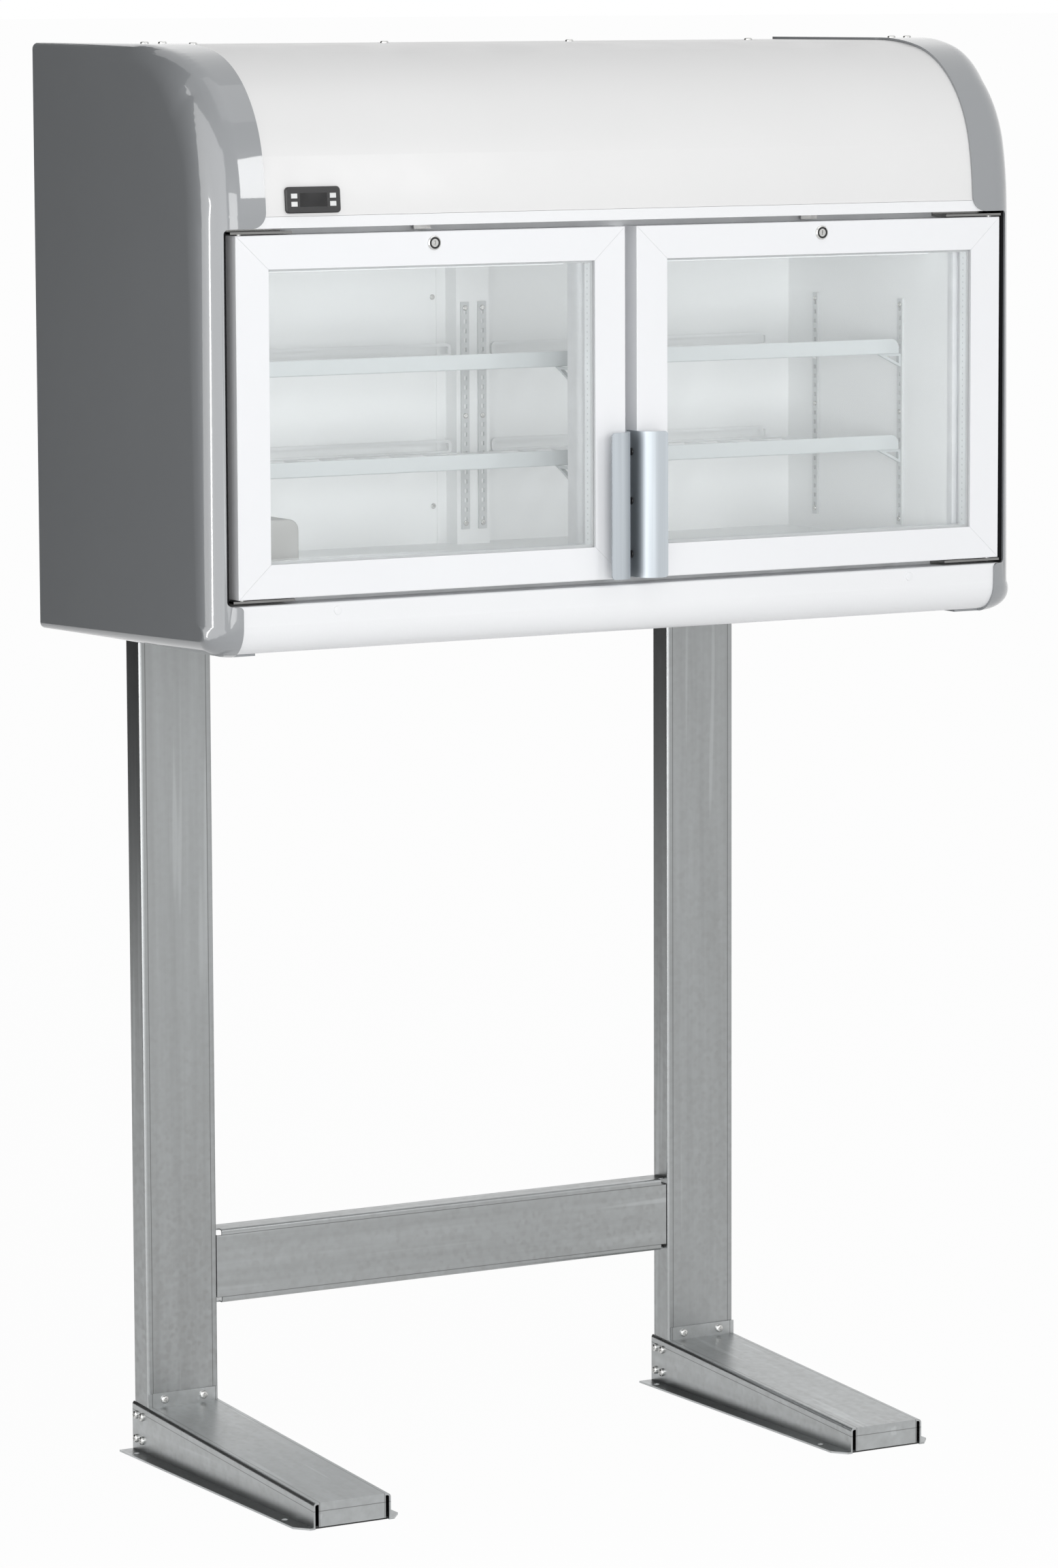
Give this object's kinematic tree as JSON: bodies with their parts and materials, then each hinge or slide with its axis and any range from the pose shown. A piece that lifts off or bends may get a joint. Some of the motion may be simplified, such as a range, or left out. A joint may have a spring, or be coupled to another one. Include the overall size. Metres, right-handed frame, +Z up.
{
  "type": "display freezer",
  "caption": "Glass-door display freezer with a rounded canopy and moulded side covers, hung on a free-standing frame of folded posts, a cross bar and wedge-shaped feet.",
  "frame": {"origin": "on the floor under the middle of the overall box", "axes": "+Z up, -Y out of the doors, +X to the right of a person facing the doors"},
  "size_m": [1.2, 0.555, 1.87],
  "materials": {
    "cover": "glossy moulded silver grey",
    "white_sheet": "smooth white powder coat",
    "galvanised_panel": "plain galvanised sheet",
    "foam": "rigid foam",
    "liner": "white coated sheet",
    "frame_plastic": "white plastic",
    "shelf_white": "white coated steel",
    "light_diffuser": "opal",
    "evaporator_aluminium": "mill",
    "compressor_black": "satin black",
    "condenser_metal": "mill",
    "black_plastic": "satin black",
    "display_window": "smoked red black",
    "key_plastic": "satin dark grey",
    "galvanised": "galvanised sheet",
    "zinc_fastener": "zinc plated",
    "door_white": "gloss white",
    "clear_glass": "clear",
    "spacer_metal": "mill",
    "seal": "soft grey",
    "handle_metal": "satin anodised",
    "lock_chrome": "polished"
  },
  "bodies": {
    "cabinet": {"bottom_panel": "galvanised_panel", "canopy": "white_sheet", "ceiling_lights": "light_diffuser", "centre_column": "liner", "compressor": "compressor_black", "condenser": "condenser_metal", "control_box": "black_plastic", "controller": "black_plastic", "controller_window": "display_window", "cross_bar": "galvanised", "evaporator": "evaporator_aluminium", "fan_motor": "compressor_black", "fan_shroud": "black_plastic", "front_frame": "frame_plastic", "hanging_studs": "zinc_fastener", "header_strip": "white_sheet", "inner_liner": "liner", "insulation": "foam", "left_foot": "galvanised", "left_hinges": "zinc_fastener", "left_post": "galvanised", "left_side_cover": "cover", "lock_keepers": "zinc_fastener", "lower_fascia": "white_sheet", "lower_left_shelf": "shelf_white", "lower_right_shelf": "shelf_white", "machine_deck": "galvanised_panel", "probe_cover": "frame_plastic", "rear_grille": "galvanised_panel", "rear_panel": "galvanised_panel", "right_foot": "galvanised", "right_hinges": "zinc_fastener", "right_post": "galvanised", "right_side_cover": "cover", "shelf_brackets": "shelf_white", "shelf_strips": "shelf_white", "stand_screws": "zinc_fastener", "top_panel": "white_sheet", "upper_left_shelf": "shelf_white", "upper_right_shelf": "shelf_white"},
    "left_door": {"left_door_frame": "door_white", "left_glass": "clear_glass", "left_glass_spacer": "spacer_metal", "left_door_gasket": "seal", "left_handle": "handle_metal", "left_lock_body": "lock_chrome"},
    "right_door": {"right_door_frame": "door_white", "right_glass": "clear_glass", "right_glass_spacer": "spacer_metal", "right_door_gasket": "seal", "right_handle": "handle_metal", "right_lock_body": "lock_chrome"},
    "left_lock": {"left_lock_plug": "lock_chrome"},
    "right_lock": {"right_lock_plug": "lock_chrome"},
    "fan": {"fan_blade": "black_plastic"},
    "upper_left_key": {"upper_left_button": "key_plastic"},
    "upper_right_key": {"upper_right_button": "key_plastic"},
    "lower_left_key": {"lower_left_button": "key_plastic"},
    "lower_right_key": {"lower_right_button": "key_plastic"}
  },
  "joints": [
    {"name": "left_door_hinge", "type": "hinge", "parent": "cabinet", "child": "left_door", "pos_m": [-0.554, -0.2435, 1.413], "axis": [0, 0, -1], "range_deg": [0, 100]},
    {"name": "right_door_hinge", "type": "hinge", "parent": "cabinet", "child": "right_door", "pos_m": [0.554, -0.2435, 1.413], "axis": [0, 0, 1], "range_deg": [0, 100]},
    {"name": "left_lock_turn", "type": "hinge", "parent": "left_door", "child": "left_lock", "pos_m": [-0.28625, -0.2395, 1.6225], "axis": [0, 1, 0], "range_deg": [0, 90]},
    {"name": "right_lock_turn", "type": "hinge", "parent": "right_door", "child": "right_lock", "pos_m": [0.28625, -0.2395, 1.6225], "axis": [0, -1, 0], "range_deg": [0, 90]},
    {"name": "condenser_fan_spin", "type": "hinge", "parent": "cabinet", "child": "fan", "pos_m": [-0.1, 0.0875, 1.7505], "axis": [1, 0, 0], "continuous": true},
    {"name": "upper_left_key_press", "type": "slide", "parent": "cabinet", "child": "upper_left_key", "axis": [0, 0.9969, -0.0782], "range_m": [0, 0.0006], "stiffness_N_per_m": 400, "springref_m": -0.0005},
    {"name": "upper_right_key_press", "type": "slide", "parent": "cabinet", "child": "upper_right_key", "axis": [0, 0.9969, -0.0782], "range_m": [0, 0.0006], "stiffness_N_per_m": 400, "springref_m": -0.0005},
    {"name": "lower_left_key_press", "type": "slide", "parent": "cabinet", "child": "lower_left_key", "axis": [0, 0.9969, -0.0782], "range_m": [0, 0.0006], "stiffness_N_per_m": 400, "springref_m": -0.0005},
    {"name": "lower_right_key_press", "type": "slide", "parent": "cabinet", "child": "lower_right_key", "axis": [0, 0.9969, -0.0782], "range_m": [0, 0.0006], "stiffness_N_per_m": 400, "springref_m": -0.0005}
  ]
}
